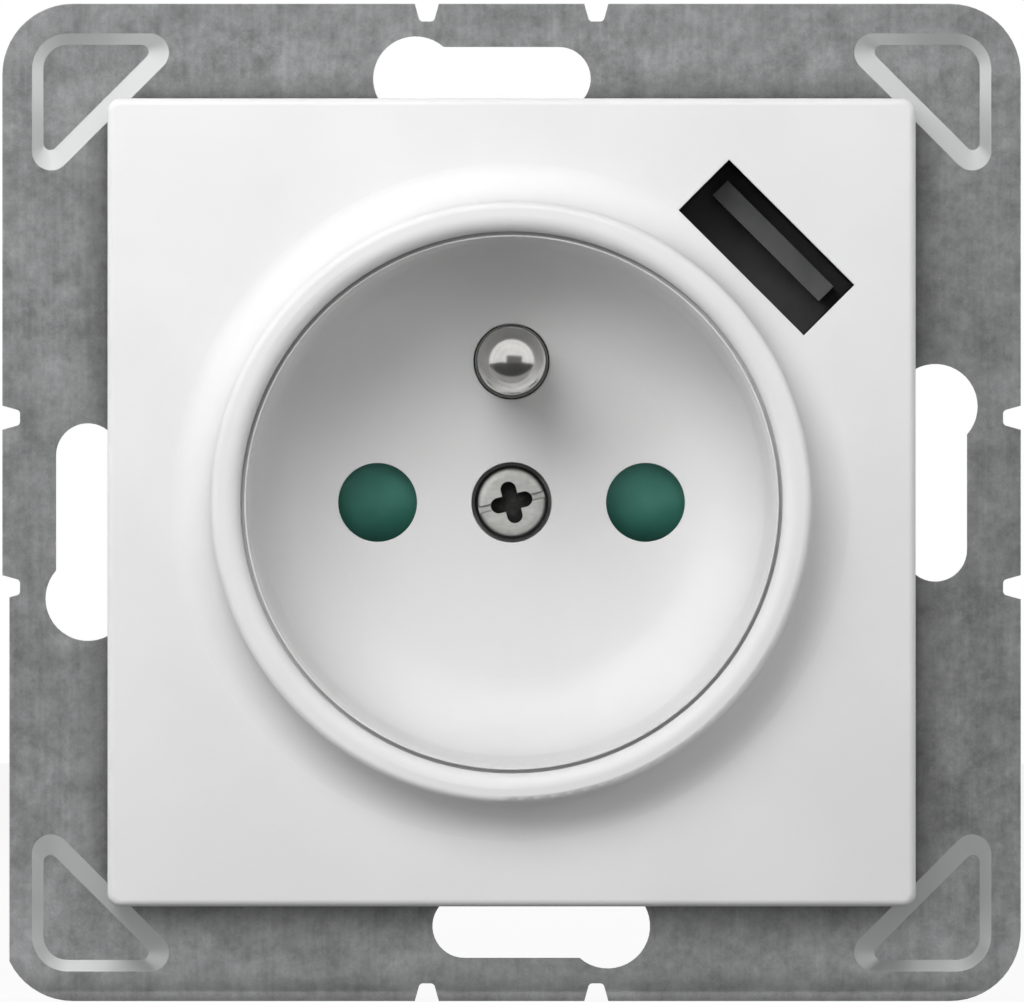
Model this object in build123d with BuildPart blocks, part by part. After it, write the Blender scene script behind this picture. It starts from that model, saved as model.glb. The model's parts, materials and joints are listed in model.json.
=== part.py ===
from build123d import *
import os
from math import sqrt

os.makedirs("parts", exist_ok=True)

# Millimetres. The wall is the plane Y = 0, the room lies at negative Y and Z points up.
# Every depth below is measured forward from the wall.

# Steel support frame
sheet = 1.0
frame_width = 72.1
frame_height = 70.6
frame_corner = 5.0
flank_step = 0.5
pad_drop = 0.45
pad_leg = 11.6
pad_inset = 2.1
pad_slope = 0.8
pad_ramp = 1.3
pad_corner = 2.5
pad_tip = 1.35
pad_floor_tip = 0.5
notch_pitch = 12.0
notch_mouth = 1.7
notch_root = 1.0
notch_depth = 1.25
notch_round = 0.3
slot_pitch = 60.0
slot_width = 4.5
slot_head_radius = 3.0
slot_head_shift = 6.8
slot_end_shift = 3.35

# Cover plate and collar
plate_size = 57.0
plate_corner = 0.9
plate_edge = 0.5
plate_wall = 2.0
skirt_wall = 2.0
skirt_gap = 1.0
plate_rise = 8.35
collar_rise = 3.2
collar_wall = 2.1
collar_edge = 0.5
lip_round = 1.1
lip_depth = 1.8
tube_wall = 1.4
tube_reach = 3.0
snap_bead = 0.25
snap_width = 0.8
snap_slack = 0.1
plate_rib = 1.0
plate_rib_depth = 2.0

# Recess insert
recess_depth = 15.0
recess_radius = 18.45
recess_taper = 0.45
recess_fillet = 5.5
floor_wall = 2.0
spigot_wall = 0.4
seam_gap = 0.25
rim_drop = 1.2
rim_land = 0.12
rim_flare = 0.9
insert_wall = 1.55
insert_slip = 0.2
foot_round = 3.0
pin_pitch = 19.0
pin_hole_radius = 2.8
earth_rise = 10.0

# Earth pin and its strap
earth_radius = 2.4
earth_root_radius = 2.6
earth_slip = 0.1
earth_tip_drop = 1.5
rivet_radius = 1.5
rivet_head_radius = 2.3
rivet_head = 0.7
strap = 0.8
strap_width = 5.0
strap_ring = 5.2
strap_slip = 0.2

# Cover screw
head_radius = 2.6
head_height = 2.0
head_drop = 0.3
head_slip = 0.25
head_round = 0.7
cross_length = 3.0
cross_width = 1.1
cross_depth = 1.7
cross_turn = 14.0
head_slot_width = 0.5
head_slot_depth = 0.2
shank_radius = 1.5
shank_length = 10.7
shank_slip = 0.2
thread_slip = 0.05
boss_radius = 4.2
boss_height = 2.3

# Front body behind the recess
cup_slip = 0.4
cup_wall = 1.2
flange = 1.5
flange_slip = 1.0
flange_corner = 8.0
guide_wall = 1.6
post_radius = 3.6
tail_radius = 3.2
tail_length = 5.2
tail_floor = 1.5
guide_hole_slip = 0.2

# Shutter slide and spring
slide_gap = 0.3
slide_depth = 5.6
slide_plate = 2.0
slide_travel = 6.4
slide_margin = 0.4
slide_tip = 2.2
slide_swell = 0.85
slide_slot_slip = 0.4
slide_window_slip = 0.1
slide_rail = 1.2
bridge = 2.4
seat_drop = 0.8
seat_width = 4.4
guide_rail_wall = 1.2
guide_rail_height = 3.6
guide_rail_top = 12.0
guide_rail_foot = 13.0
stop_width = 10.0
stop_wall = 1.3
spring_radius = 1.4
spring_wire = 0.17
spring_turns = 7
spring_slack = 0.3

# Rear housing
frame_slip = 0.6
base_gap = 1.9
base_wall = 1.5
base_depth = 29.0
base_edge = 1.2
base_flange = 2.2
base_flange_lip = 2.4
base_slip = 0.3
rib_wall = 1.2
rib_height = 11.5
rib_rise = 2.7
rib_drop = 2.0
rib_shift = 5.5
post_gap = 3.6
post_margin = 2.0
board_post_radius = 1.6
board_peg_radius = 1.2
vent_count = 5
vent_pitch = 3.2
vent_width = 1.4
vent_length = 9.0
vent_rise = 11.0
grip_count = 3
grip_spread = 11.0
grip_width = 1.6
grip_rise = 0.7
grip_drop = 2.4

# Clamping screws of the frame
clamp_shift = 3.2
clamp_head_radius = 2.2
clamp_head = 1.5
clamp_shank_radius = 1.2
clamp_slip = 0.2
clamp_length = 11.0
clamp_boss_radius = 2.4
clamp_floor = 1.0

# Line and neutral contacts
contact_sheet = 0.7
contact_gap = 0.6
contact_length = 10.1
contact_width = 5.0
contact_pinch = 2.3
contact_mouth = 3.6
contact_heel = 2.9
contact_web = 3.5
feed_margin = 0.7
feed_width = 1.4
rest_width = 1.9
rest_height = 6.0

# Wire terminals
terminal_shift = 11.0
terminal_width = 6.4
terminal_height = 5.8
terminal_length = 9.0
terminal_gap = 0.6
wire_radius = 1.8
entry_radius = 2.0
entry_flare = 0.5
driver_radius = 2.5
clip_screw_radius = 1.4
clip_screw_slip = 0.05
clip_head_radius = 2.2
clip_head = 1.4
clip_gap = 0.2
clip_reach = 1.6
driver_slot_width = 0.7
driver_slot_depth = 0.7

# USB socket
usb_window_width = 12.5
usb_window_height = 5.05
usb_shell_wall = 0.3
usb_shell_length = 10.2
usb_clear = 1.0
usb_corner = 0.4
usb_pass = 0.4
usb_block = 2.8
usb_block_slip = 0.05
usb_tongue_width = 10.6
usb_tongue_wall = 1.5
usb_tongue_shift = 0.7
usb_tongue_drop = 1.3
usb_strip_pitch = 2.35
usb_strip_width = 1.0
usb_strip = 0.25
usb_strip_drop = 0.6
usb_strip_slip = 0.05
usb_board_wall = 1.0
usb_board_width = 14.0
usb_board_edge = 0.3
usb_board_corner = 1.6
bay_gap = 0.3
bay_wall = 0.9
bay_floor = 1.4
bay_corner = 2.0
link_radius = 0.32
link_pitch = 2.2
link_gap = 0.9
link_count = 4

# Mains charger
board_wall = 1.0
board_drop = 2.7
board_edge = 0.3
part_gap = 0.4
core_x = -7.0
core_gap = 0.8
core_width = 11.0
core_height = 8.6
core_length = 9.5
core_leg = 2.2
coil_bulge = 1.0
coil_gap = 0.5
can_gap = 1.4
input_angle = 74.0
input_radius = 4.0
input_length = 11.0
output_angle = 44.0
output_radius = 3.15
output_length = 8.0
can_round = 0.6
chip_x = 0.6
chip_length = 5.0
chip_width = 3.0
chip_height = 1.6
rectifier_x = -8.4
rectifier_length = 4.6
rectifier_width = 2.6
rectifier_height = 2.4

# Levels from the back of the steel sheet forward
sheet_back = pad_drop
sheet_front = sheet_back + sheet
flange_front = sheet_front + flange
plate_face = sheet_front + plate_rise
plate_inside = plate_face - plate_wall
skirt_foot = sheet_front + skirt_gap
crown = plate_face + collar_rise
shoulder = crown - lip_depth
rim = crown - rim_drop
earth_tip = crown - earth_tip_drop
tube_foot = plate_inside - tube_reach
snap_level = (tube_foot + plate_inside) / 2

# Levels from the recess floor backward
floor_front = crown - recess_depth
floor_back = floor_front - floor_wall
boss_foot = floor_back - boss_height
head_front = floor_front - head_drop
head_seat = head_front - head_height
slide_front = floor_back - slide_gap
slide_back = slide_front - slide_depth
guide_front = slide_back - slide_gap
guide_back = guide_front - guide_wall
tail_foot = guide_back - tail_length
strap_back = guide_back - strap
board_front = guide_back - board_drop
board_back = board_front - board_wall
base_back = -base_depth
base_inside = base_back + base_wall
contact_front = guide_back - contact_gap
contact_back = contact_front - contact_length
clamp_tip = flange_front - clamp_length

# Radii from the recess outward
recess_foot = recess_radius - recess_taper
spigot_radius = recess_radius + spigot_wall
lip_bore = spigot_radius + seam_gap
insert_radius = recess_radius + insert_wall
tube_bore = insert_radius + insert_slip
tube_radius = tube_bore + tube_wall
collar_radius = lip_bore + collar_wall
collar_flare = collar_rise - collar_edge
cup_bore = insert_radius + cup_slip
cup_radius = cup_bore + cup_wall
frame_opening = cup_radius + frame_slip
base_bore = cup_radius + base_gap
base_radius = base_bore + base_wall
flange_bore = cup_radius + base_slip
flange_radius = base_radius + base_flange_lip
pin_shift = pin_pitch / 2
clamp_reach = cup_radius + clamp_shift
flange_size = plate_size - 2 * (skirt_wall + flange_slip)

# Shutter outline
window_half = pin_hole_radius + slide_window_slip
slide_inner = boss_radius + slide_slot_slip
slide_half = pin_shift + window_half + slide_rail
ramp_half = pin_hole_radius + slide_margin
window_foot = -ramp_half - slide_travel
slide_top = ramp_half
seat_foot = -post_radius - seat_drop
spring_room = slide_travel + 2 * spring_wire * spring_turns + spring_slack
bridge_top = seat_foot - spring_room
slide_foot = bridge_top - bridge
spring_depth = (boss_foot + guide_front) / 2

# Charger parts, kept clear of the round wall and stacked down from the transformer
core_z = sqrt((base_bore - core_gap) ** 2 - (core_width / 2 - core_x) ** 2) - core_height / 2
core_foot = core_z - core_height / 2
chip_z = core_foot - part_gap - chip_width / 2
rectifier_z = core_foot - part_gap - rectifier_width / 2
board_foot = chip_z - chip_width / 2 - part_gap
input_reach = base_bore - can_gap - input_radius
output_reach = base_bore - can_gap - output_radius
post_rise = board_foot + post_margin
post_reach = sqrt((base_bore - post_gap) ** 2 - post_rise**2)
feed_rise = board_foot + feed_margin + feed_width
coil_width = core_width - 2 * core_leg - coil_gap
coil_height = core_height - 2 * core_leg - coil_gap

# Contacts, terminals and strap
terminal_corner = terminal_shift + terminal_width / 2
terminal_foot = sqrt((base_bore - terminal_gap) ** 2 - terminal_corner**2)
terminal_top = terminal_foot - terminal_height
rib_top = terminal_top - rib_rise
rib_foot = terminal_foot + rib_drop
rest_shift = pin_shift + contact_width / 2 + contact_sheet / 2
pinch_depth = (contact_front + contact_back) / 2
wire_rise = -terminal_top - terminal_height / 2
driver_depth = base_inside + terminal_length / 2
clip_foot = -terminal_foot - clip_gap
terminal_shifts = (-terminal_shift, 0, terminal_shift)
arm_top = base_bore - base_slip - strap_slip / 2

# USB socket place: square to the upper right diagonal, just outside the front body
shell_width = usb_window_width + 2 * usb_shell_wall
shell_height = usb_window_height + 2 * usb_shell_wall
usb_reach = cup_radius + usb_clear + shell_height / 2
usb_side = usb_reach / sqrt(2)
usb_frame = Plane(origin=(usb_side, 0, usb_side), x_dir=(1, 0, -1), z_dir=(0, -1, 0))
shell_back = plate_inside - usb_shell_length
block_front = shell_back + usb_block
tongue_front = plate_inside - usb_tongue_drop
tongue_face = usb_tongue_shift - usb_tongue_wall / 2
strip_front = tongue_front - usb_strip_drop
usb_board_back = shell_back - usb_board_wall
usb_board_near = cup_radius + usb_board_edge + base_slip - usb_reach
usb_board_far = shell_height / 2 + usb_board_edge
link_shift = cup_radius + link_gap - usb_reach
bay_far = usb_board_far + bay_gap
bay_half = usb_board_width / 2 + bay_gap
bay_near = cup_radius - usb_clear - usb_reach


def level(depth):
    return Plane.XZ.offset(depth)


def around(radius, depth):
    return (radius, -depth)


def aside(depth, height):
    return (-depth, height)


# Stamped sheet: notched edges, keyhole slots turned a quarter from side to side, sunk corner pads
with BuildSketch() as keyhole:
    with Locations(((slot_end_shift - slot_head_shift) / 2, slot_pitch / 2)):
        SlotCenterToCenter(slot_head_shift + slot_end_shift, slot_width)
    with Locations((-slot_head_shift, slot_pitch / 2)):
        Circle(slot_head_radius)

with BuildSketch() as keyhole_rim:
    add(keyhole.sketch)
    offset(amount=2 * sheet)

with BuildSketch() as notch:
    with BuildLine():
        Polyline(
            (-notch_mouth / 2, 0),
            (-notch_root / 2, -notch_depth),
            (notch_root / 2, -notch_depth),
            (notch_mouth / 2, 0),
            (notch_root / 2, notch_depth),
            (-notch_root / 2, notch_depth),
            close=True,
        )
    make_face()
    fillet(notch.vertices().group_by(Axis.Y)[0] + notch.vertices().group_by(Axis.Y)[-1], notch_round)

with BuildSketch() as pad:
    with BuildLine():
        Polyline((0, 0), (-pad_leg, 0), (0, -pad_leg), close=True)
    make_face()
    fillet(pad.vertices().sort_by_distance((0, 0))[0], pad_corner)
    fillet(pad.vertices().group_by(Axis.X)[0], pad_tip)
    fillet(pad.vertices().group_by(Axis.Y)[0], pad_tip)

pad_floor_leg = pad_leg - sqrt(2) * pad_ramp - 2 * pad_slope

with BuildSketch() as pad_floor:
    with BuildLine():
        Polyline(
            (-pad_slope, -pad_slope),
            (-pad_slope - pad_floor_leg, -pad_slope),
            (-pad_slope, -pad_slope - pad_floor_leg),
            close=True,
        )
    make_face()
    fillet(pad_floor.vertices().sort_by_distance((0, 0))[0], pad_corner - pad_slope)
    fillet(pad_floor.vertices().group_by(Axis.X)[0], pad_floor_tip)
    fillet(pad_floor.vertices().group_by(Axis.Y)[0], pad_floor_tip)

pad_x = frame_width / 2 - pad_inset
pad_z = frame_height / 2 - pad_inset
pad_places = [
    Location((pad_x, pad_z), 0),
    Location((-pad_x, pad_z), 90),
    Location((-pad_x, -pad_z), 180),
    Location((pad_x, -pad_z), 270),
]
clamp_angles = (135, 225, 315)
clamp_places = [Vector(clamp_reach, 0).rotate(Axis.Z, angle) for angle in clamp_angles]

with BuildPart() as support_frame:
    with BuildSketch(level(sheet_back)):
        RectangleRounded(frame_width, frame_height, frame_corner)
        with Locations((-frame_width / 2, -notch_pitch / 2)):
            Rectangle(
                2 * flank_step,
                frame_height / 2 - notch_pitch / 2,
                align=(Align.CENTER, Align.MAX),
                mode=Mode.SUBTRACT,
            )
        with PolarLocations(0, 4):
            add(keyhole_rim.sketch)
        with GridLocations(notch_pitch, frame_height, 2, 2):
            add(notch.sketch, mode=Mode.SUBTRACT)
        with GridLocations(frame_width, notch_pitch, 2, 2):
            add(notch.sketch, rotation=90, mode=Mode.SUBTRACT)
        with PolarLocations(0, 4):
            add(keyhole.sketch, mode=Mode.SUBTRACT)
        Circle(frame_opening, mode=Mode.SUBTRACT)
        with Locations(*clamp_places):
            Circle(clamp_shank_radius + clamp_slip, mode=Mode.SUBTRACT)
    extrude(amount=sheet)
    with BuildSketch(usb_frame.offset(sheet_back)):
        with Locations((0, shell_height / 2 + usb_pass)):
            Rectangle(
                shell_width + 2 * usb_pass,
                shell_height / 2 + usb_pass - bay_near,
                align=(Align.CENTER, Align.MAX),
            )
    extrude(amount=sheet, mode=Mode.SUBTRACT)
    for place in pad_places:
        with BuildSketch(level(sheet_back)):
            with Locations(place):
                add(pad.sketch)
        with BuildSketch(level(sheet_back - pad_drop)):
            with Locations(place):
                add(pad_floor.sketch)
        loft(ruled=True)
        with BuildSketch(level(sheet_front)):
            with Locations(place):
                add(pad.sketch)
        with BuildSketch(level(sheet_front - pad_drop)):
            with Locations(place):
                add(pad_floor.sketch)
        loft(ruled=True, mode=Mode.SUBTRACT)
support_frame.part.label = "support_frame"
export_step(support_frame.part, "parts/support_frame.step")

# White plate: thin square shell with a turned collar, snap tube and slanted USB window
with BuildPart() as cover_plate:
    with BuildSketch(level(skirt_foot)):
        RectangleRounded(plate_size, plate_size, plate_corner)
    extrude(amount=plate_face - skirt_foot)
    fillet(cover_plate.faces().sort_by(Axis.Y)[0].edges(), plate_edge)
    with BuildSketch(level(skirt_foot)):
        Rectangle(plate_size - 2 * skirt_wall, plate_size - 2 * skirt_wall)
    extrude(amount=plate_inside - skirt_foot, mode=Mode.SUBTRACT)
    with BuildSketch(level(plate_inside)):
        Circle(tube_bore)
    extrude(amount=plate_wall, mode=Mode.SUBTRACT)
    with BuildSketch(Plane.XY):
        with BuildLine():
            Polyline(
                around(collar_radius + collar_flare, plate_face),
                around(collar_radius + collar_flare, plate_inside),
                around(tube_radius, plate_inside),
                around(tube_radius, tube_foot),
                around(tube_bore, tube_foot),
                around(tube_bore, snap_level - snap_width / 2),
                around(tube_bore + snap_bead, snap_level - snap_width / 2),
                around(tube_bore + snap_bead, snap_level + snap_width / 2),
                around(tube_bore, snap_level + snap_width / 2),
                around(tube_bore, shoulder),
                around(lip_bore, shoulder),
                around(lip_bore, crown - lip_round),
            )
            CenterArc(around(lip_bore + lip_round, crown - lip_round), lip_round, 180, 90)
            Line(around(lip_bore + lip_round, crown), around(collar_radius - collar_edge, crown))
            CenterArc(around(collar_radius - collar_edge, crown - collar_edge), collar_edge, 270, 90)
            CenterArc(around(collar_radius + collar_flare, crown - collar_edge), collar_flare, 90, 90)
        make_face()
    revolve(axis=Axis.Y)
    with BuildSketch(level(plate_inside)):
        with PolarLocations(tube_bore, 4, start_angle=45):
            Rectangle(plate_size / 2, plate_rib, align=(Align.MIN, Align.CENTER))
        Rectangle(plate_size - skirt_wall, plate_size - skirt_wall, mode=Mode.INTERSECT)
        Circle(tube_bore + tube_wall / 2, mode=Mode.SUBTRACT)
    extrude(amount=-plate_rib_depth)
    with BuildSketch(usb_frame.offset(skirt_foot)):
        Rectangle(shell_width + 2 * usb_pass, shell_height + 2 * usb_pass)
    extrude(amount=plate_inside - skirt_foot, mode=Mode.SUBTRACT)
    with BuildSketch(usb_frame.offset(plate_inside)):
        Rectangle(usb_window_width, usb_window_height)
    extrude(amount=plate_wall + collar_rise, mode=Mode.SUBTRACT)
cover_plate.part.label = "cover_plate"
export_step(cover_plate.part, "parts/cover_plate.step")

# Round cup of the recess, pushed into the collar from behind as far as its shoulder
with BuildPart() as socket_insert:
    with BuildSketch(Plane.XY):
        with BuildLine():
            CenterArc(around(insert_radius - foot_round, floor_back + foot_round), foot_round, 0, 90)
            Polyline(
                around(insert_radius, floor_back + foot_round),
                around(insert_radius, snap_level - snap_width / 2 + snap_slack),
                around(insert_radius + snap_bead + snap_slack, snap_level),
                around(insert_radius, snap_level + snap_width / 2 - snap_slack),
                around(insert_radius, shoulder),
                around(spigot_radius, shoulder),
                around(spigot_radius, rim),
                around(spigot_radius - rim_land, rim),
                around(recess_radius, rim - rim_flare),
                around(recess_foot, floor_front + recess_fillet),
            )
            CenterArc(around(recess_foot - recess_fillet, floor_front + recess_fillet), recess_fillet, 0, 90)
            Polyline(
                around(recess_foot - recess_fillet, floor_front),
                around(0, floor_front),
                around(0, floor_back),
                around(insert_radius - foot_round, floor_back),
            )
        make_face()
    revolve(axis=Axis.Y)
    with BuildSketch(level(floor_back)):
        Circle(boss_radius)
    extrude(amount=boss_foot - floor_back)
    with BuildSketch(level(head_seat)):
        Circle(head_radius + head_slip)
    extrude(amount=floor_front - head_seat, mode=Mode.SUBTRACT)
    with BuildSketch(level(boss_foot)):
        Circle(shank_radius + shank_slip)
    extrude(amount=head_seat - boss_foot, mode=Mode.SUBTRACT)
    with BuildSketch(level(floor_back)):
        with Locations((-pin_shift, 0), (pin_shift, 0)):
            Circle(pin_hole_radius)
        with Locations((0, earth_rise)):
            Circle(earth_root_radius + earth_slip)
    extrude(amount=floor_wall, mode=Mode.SUBTRACT)
socket_insert.part.label = "socket_insert"
export_step(socket_insert.part, "parts/socket_insert.step")

# Pan-head screw through the insert into the post
with BuildPart() as cover_screw:
    with BuildSketch(level(head_seat)):
        Circle(head_radius)
    extrude(amount=head_height)
    fillet(cover_screw.faces().sort_by(Axis.Y)[0].edges(), head_round)
    with BuildSketch(level(head_seat)):
        Circle(shank_radius)
    extrude(amount=-shank_length)
    with BuildSketch(level(head_front)):
        SlotOverall(cross_length, cross_width, rotation=cross_turn)
        SlotOverall(cross_length, cross_width, rotation=cross_turn + 90)
    extrude(amount=-cross_depth, mode=Mode.SUBTRACT)
    with BuildSketch(level(head_front)):
        Rectangle(2 * head_radius, head_slot_width, rotation=cross_turn)
    extrude(amount=-head_slot_depth, mode=Mode.SUBTRACT)
cover_screw.part.label = "cover_screw"
export_step(cover_screw.part, "parts/cover_screw.step")

# Cup behind the recess: flange on the steel sheet, shutter guide, screw post
with BuildPart() as front_body:
    with BuildSketch(level(sheet_front)):
        RectangleRounded(flange_size, flange_size, flange_corner)
    extrude(amount=flange)
    with BuildSketch(level(guide_back)):
        Circle(cup_radius)
    extrude(amount=flange_front - guide_back)
    with BuildSketch(level(guide_front)):
        Circle(cup_bore)
    extrude(amount=flange_front - guide_front, mode=Mode.SUBTRACT)
    with BuildSketch(level(guide_front)):
        Circle(post_radius)
        with Locations((0, seat_foot)):
            Rectangle(seat_width, post_radius, align=(Align.CENTER, Align.MIN))
    extrude(amount=boss_foot - guide_front)
    with BuildSketch(level(guide_front)):
        for side in (-1, 1):
            with Locations((side * (slide_half + slide_gap + guide_rail_wall / 2), -guide_rail_foot)):
                Rectangle(guide_rail_wall, guide_rail_top + guide_rail_foot, align=(Align.CENTER, Align.MIN))
        with Locations((0, slide_foot - slide_gap)):
            Rectangle(stop_width, stop_wall, align=(Align.CENTER, Align.MAX))
        Circle(cup_radius, mode=Mode.INTERSECT)
    extrude(amount=guide_rail_height)
    with BuildSketch(level(guide_back)):
        Circle(tail_radius)
    extrude(amount=-tail_length)
    with BuildSketch(level(guide_back)):
        with Locations((-post_reach, post_rise), (post_reach, post_rise)):
            Circle(board_peg_radius)
    extrude(amount=board_front - guide_back)
    with BuildSketch(level(tail_foot + tail_floor)):
        Circle(shank_radius + thread_slip)
    extrude(amount=boss_foot - tail_foot - tail_floor, mode=Mode.SUBTRACT)
    with BuildSketch(level(guide_back)):
        with Locations((-pin_shift, 0), (pin_shift, 0)):
            Circle(pin_hole_radius + guide_hole_slip)
        with Locations((0, earth_rise)):
            Circle(earth_root_radius + earth_slip)
    extrude(amount=guide_wall, mode=Mode.SUBTRACT)
    with BuildSketch(level(sheet_front)):
        with Locations(*clamp_places):
            Circle(clamp_shank_radius + clamp_slip)
    extrude(amount=flange, mode=Mode.SUBTRACT)
    with BuildSketch(usb_frame.offset(sheet_front)):
        with Locations((0, -shell_height / 2 - usb_pass)):
            Rectangle(shell_width + 2 * usb_pass, flange_size, align=(Align.CENTER, Align.MIN))
    extrude(amount=flange, mode=Mode.SUBTRACT)
front_body.part.label = "front_body"
export_step(front_body.part, "parts/front_body.step")

# Green slide: two ramps over the pin holes, open below, joined by a bridge that carries the spring
with BuildPart() as shutter:
    with BuildSketch(level(slide_front)):
        with Locations((0, slide_foot)):
            Rectangle(2 * slide_half, slide_top - slide_foot, align=(Align.CENTER, Align.MIN))
        Circle(cup_bore - slide_gap, mode=Mode.INTERSECT)
        with Locations((0, bridge_top)):
            Rectangle(
                2 * slide_inner,
                slide_top - bridge_top,
                align=(Align.CENTER, Align.MIN),
                mode=Mode.SUBTRACT,
            )
        with Locations((-pin_shift, window_foot), (pin_shift, window_foot)):
            Rectangle(
                2 * window_half,
                slide_top - window_foot,
                align=(Align.CENTER, Align.MIN),
                mode=Mode.SUBTRACT,
            )
    extrude(amount=-slide_plate)
    with BuildSketch(level(slide_front)):
        with Locations((0, slide_foot)):
            Rectangle(2 * slide_half, bridge, align=(Align.CENTER, Align.MIN))
        Circle(cup_bore - slide_gap, mode=Mode.INTERSECT)
    extrude(amount=-slide_depth)
    for side in (-1, 1):
        with BuildSketch(Plane.YZ.offset(side * pin_shift)):
            with BuildLine():
                Polyline(
                    aside(slide_back + slide_tip, -ramp_half),
                    aside(slide_back, -ramp_half),
                    aside(slide_back, ramp_half),
                    aside(slide_front, ramp_half),
                )
                SagittaArc(
                    aside(slide_front, ramp_half),
                    aside(slide_back + slide_tip, -ramp_half),
                    -slide_swell,
                )
            make_face()
        extrude(amount=window_half, both=True)
shutter.part.label = "shutter"
export_step(shutter.part, "parts/shutter.step")

# Return spring between the post and the bridge of the slide
with BuildPart() as shutter_spring:
    with BuildLine():
        coil = Helix(
            pitch=(spring_room - 2 * spring_wire) / spring_turns,
            height=spring_room - 2 * spring_wire,
            radius=spring_radius,
            center=(0, -spring_depth, bridge_top + spring_wire),
        )
    with BuildSketch(Plane(origin=coil @ 0, z_dir=coil % 0)):
        Circle(spring_wire)
    sweep(path=coil, is_frenet=True)
shutter_spring.part.label = "shutter_spring"
export_step(shutter_spring.part, "parts/shutter_spring.step")

# Rear housing: round cup with a flange behind the sheet, a bay for the USB socket and inner ribs
with BuildPart() as base_housing:
    with BuildSketch(level(base_back)):
        Circle(base_radius)
    extrude(amount=sheet_back - base_back)
    fillet(base_housing.faces().sort_by(Axis.Y)[-1].edges(), base_edge)
    with BuildSketch(level(sheet_back)):
        Circle(flange_radius)
    extrude(amount=-base_flange)
    with BuildSketch(level(sheet_back)):
        with Locations(*clamp_places):
            Circle(clamp_boss_radius)
    extrude(amount=clamp_tip - clamp_floor - sheet_back)
    with BuildSketch(level(sheet_back)):
        for heading in (0, 180):
            with PolarLocations(base_radius, grip_count, heading - grip_spread, 2 * grip_spread, endpoint=True):
                Rectangle(2 * grip_rise, grip_width)
    extrude(amount=base_back + base_edge + grip_drop - sheet_back)
    with BuildSketch(usb_frame.offset(sheet_back)) as bay_outline:
        with Locations((0, bay_far + bay_wall)):
            Rectangle(
                2 * (bay_half + bay_wall),
                bay_far + bay_wall - bay_near,
                align=(Align.CENTER, Align.MAX),
            )
        fillet(bay_outline.vertices().group_by(Axis((0, 0, 0), (1, 0, 1)))[-1], bay_corner)
    extrude(amount=usb_board_back - bay_floor - sheet_back)
    with BuildSketch(level(base_inside)):
        Circle(base_bore)
    extrude(amount=sheet_back - base_flange - base_inside, mode=Mode.SUBTRACT)
    with BuildSketch(level(sheet_back)):
        Circle(flange_bore)
    extrude(amount=-base_flange, mode=Mode.SUBTRACT)
    with BuildSketch(usb_frame.offset(sheet_back)):
        with Locations((0, bay_far)):
            Rectangle(2 * bay_half, bay_far - bay_near, align=(Align.CENTER, Align.MAX))
    extrude(amount=usb_board_back - sheet_back, mode=Mode.SUBTRACT)
    with BuildSketch(usb_frame.offset(usb_board_back - bay_floor)):
        with Locations((0, bay_near)):
            Rectangle(
                link_count * link_pitch,
                link_shift - bay_near + link_gap,
                align=(Align.CENTER, Align.MIN),
            )
    extrude(amount=bay_floor, mode=Mode.SUBTRACT)
    with BuildSketch(level(sheet_back)):
        with Locations((0, flange_bore)):
            Rectangle(strap_width + 2 * strap_slip, 2 * (base_bore - flange_bore))
    extrude(amount=-base_flange, mode=Mode.SUBTRACT)
    with BuildSketch(level(sheet_back)):
        with Locations(*clamp_places):
            Circle(clamp_shank_radius + thread_slip)
    extrude(amount=clamp_tip - sheet_back, mode=Mode.SUBTRACT)
    with BuildSketch(level(base_inside)):
        with Locations((-rib_shift, -rib_top), (rib_shift, -rib_top)):
            Rectangle(rib_wall, rib_foot - rib_top, align=(Align.CENTER, Align.MAX))
    extrude(amount=rib_height)
    with BuildSketch(level(base_inside)):
        with Locations((-post_reach, post_rise), (post_reach, post_rise)):
            Circle(board_post_radius)
    extrude(amount=board_back - base_inside)
    with BuildSketch(level(base_inside)):
        with Locations((-rest_shift, 0), (rest_shift, 0)):
            Rectangle(rest_width, rest_height)
    extrude(amount=contact_back - base_inside)
    with BuildSketch(level(base_back)):
        with Locations(*[(shift, wire_rise) for shift in terminal_shifts]):
            Circle(entry_radius)
    extrude(amount=base_wall, mode=Mode.SUBTRACT)
    entry_edges = base_housing.faces().sort_by(Axis.Y)[-1].edges().filter_by(GeomType.CIRCLE)
    chamfer(entry_edges.sort_by(SortBy.RADIUS)[:-1], entry_flare)
    with BuildSketch(Plane.XY.offset(clip_foot)):
        with Locations(*[(shift, -driver_depth) for shift in terminal_shifts]):
            Circle(driver_radius)
    extrude(amount=-base_radius - clip_foot, mode=Mode.SUBTRACT)
    with BuildSketch(level(base_back)):
        with Locations((0, vent_rise)):
            with GridLocations(vent_pitch, 0, vent_count, 1):
                SlotOverall(vent_length, vent_width, rotation=90)
    extrude(amount=base_wall, mode=Mode.SUBTRACT)
base_housing.part.label = "base_housing"
export_step(base_housing.part, "parts/base_housing.step")

# Three identical screws that clamp the sheet between front body and rear housing
with BuildPart() as frame_screws:
    with BuildSketch(level(flange_front)):
        with Locations(*clamp_places):
            Circle(clamp_head_radius)
    extrude(amount=clamp_head)
    fillet(frame_screws.faces().group_by(Axis.Y)[0].edges(), clamp_head / 2)
    with BuildSketch(level(flange_front)):
        with Locations(*clamp_places):
            Circle(clamp_shank_radius)
    extrude(amount=-clamp_length)
    with BuildSketch(level(flange_front + clamp_head)):
        with Locations(*clamp_places):
            SlotOverall(cross_length, cross_width)
            SlotOverall(cross_length, cross_width, rotation=90)
    extrude(amount=-clamp_head / 2, mode=Mode.SUBTRACT)
frame_screws.part.label = "frame_screws"
export_step(frame_screws.part, "parts/frame_screws.step")

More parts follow.
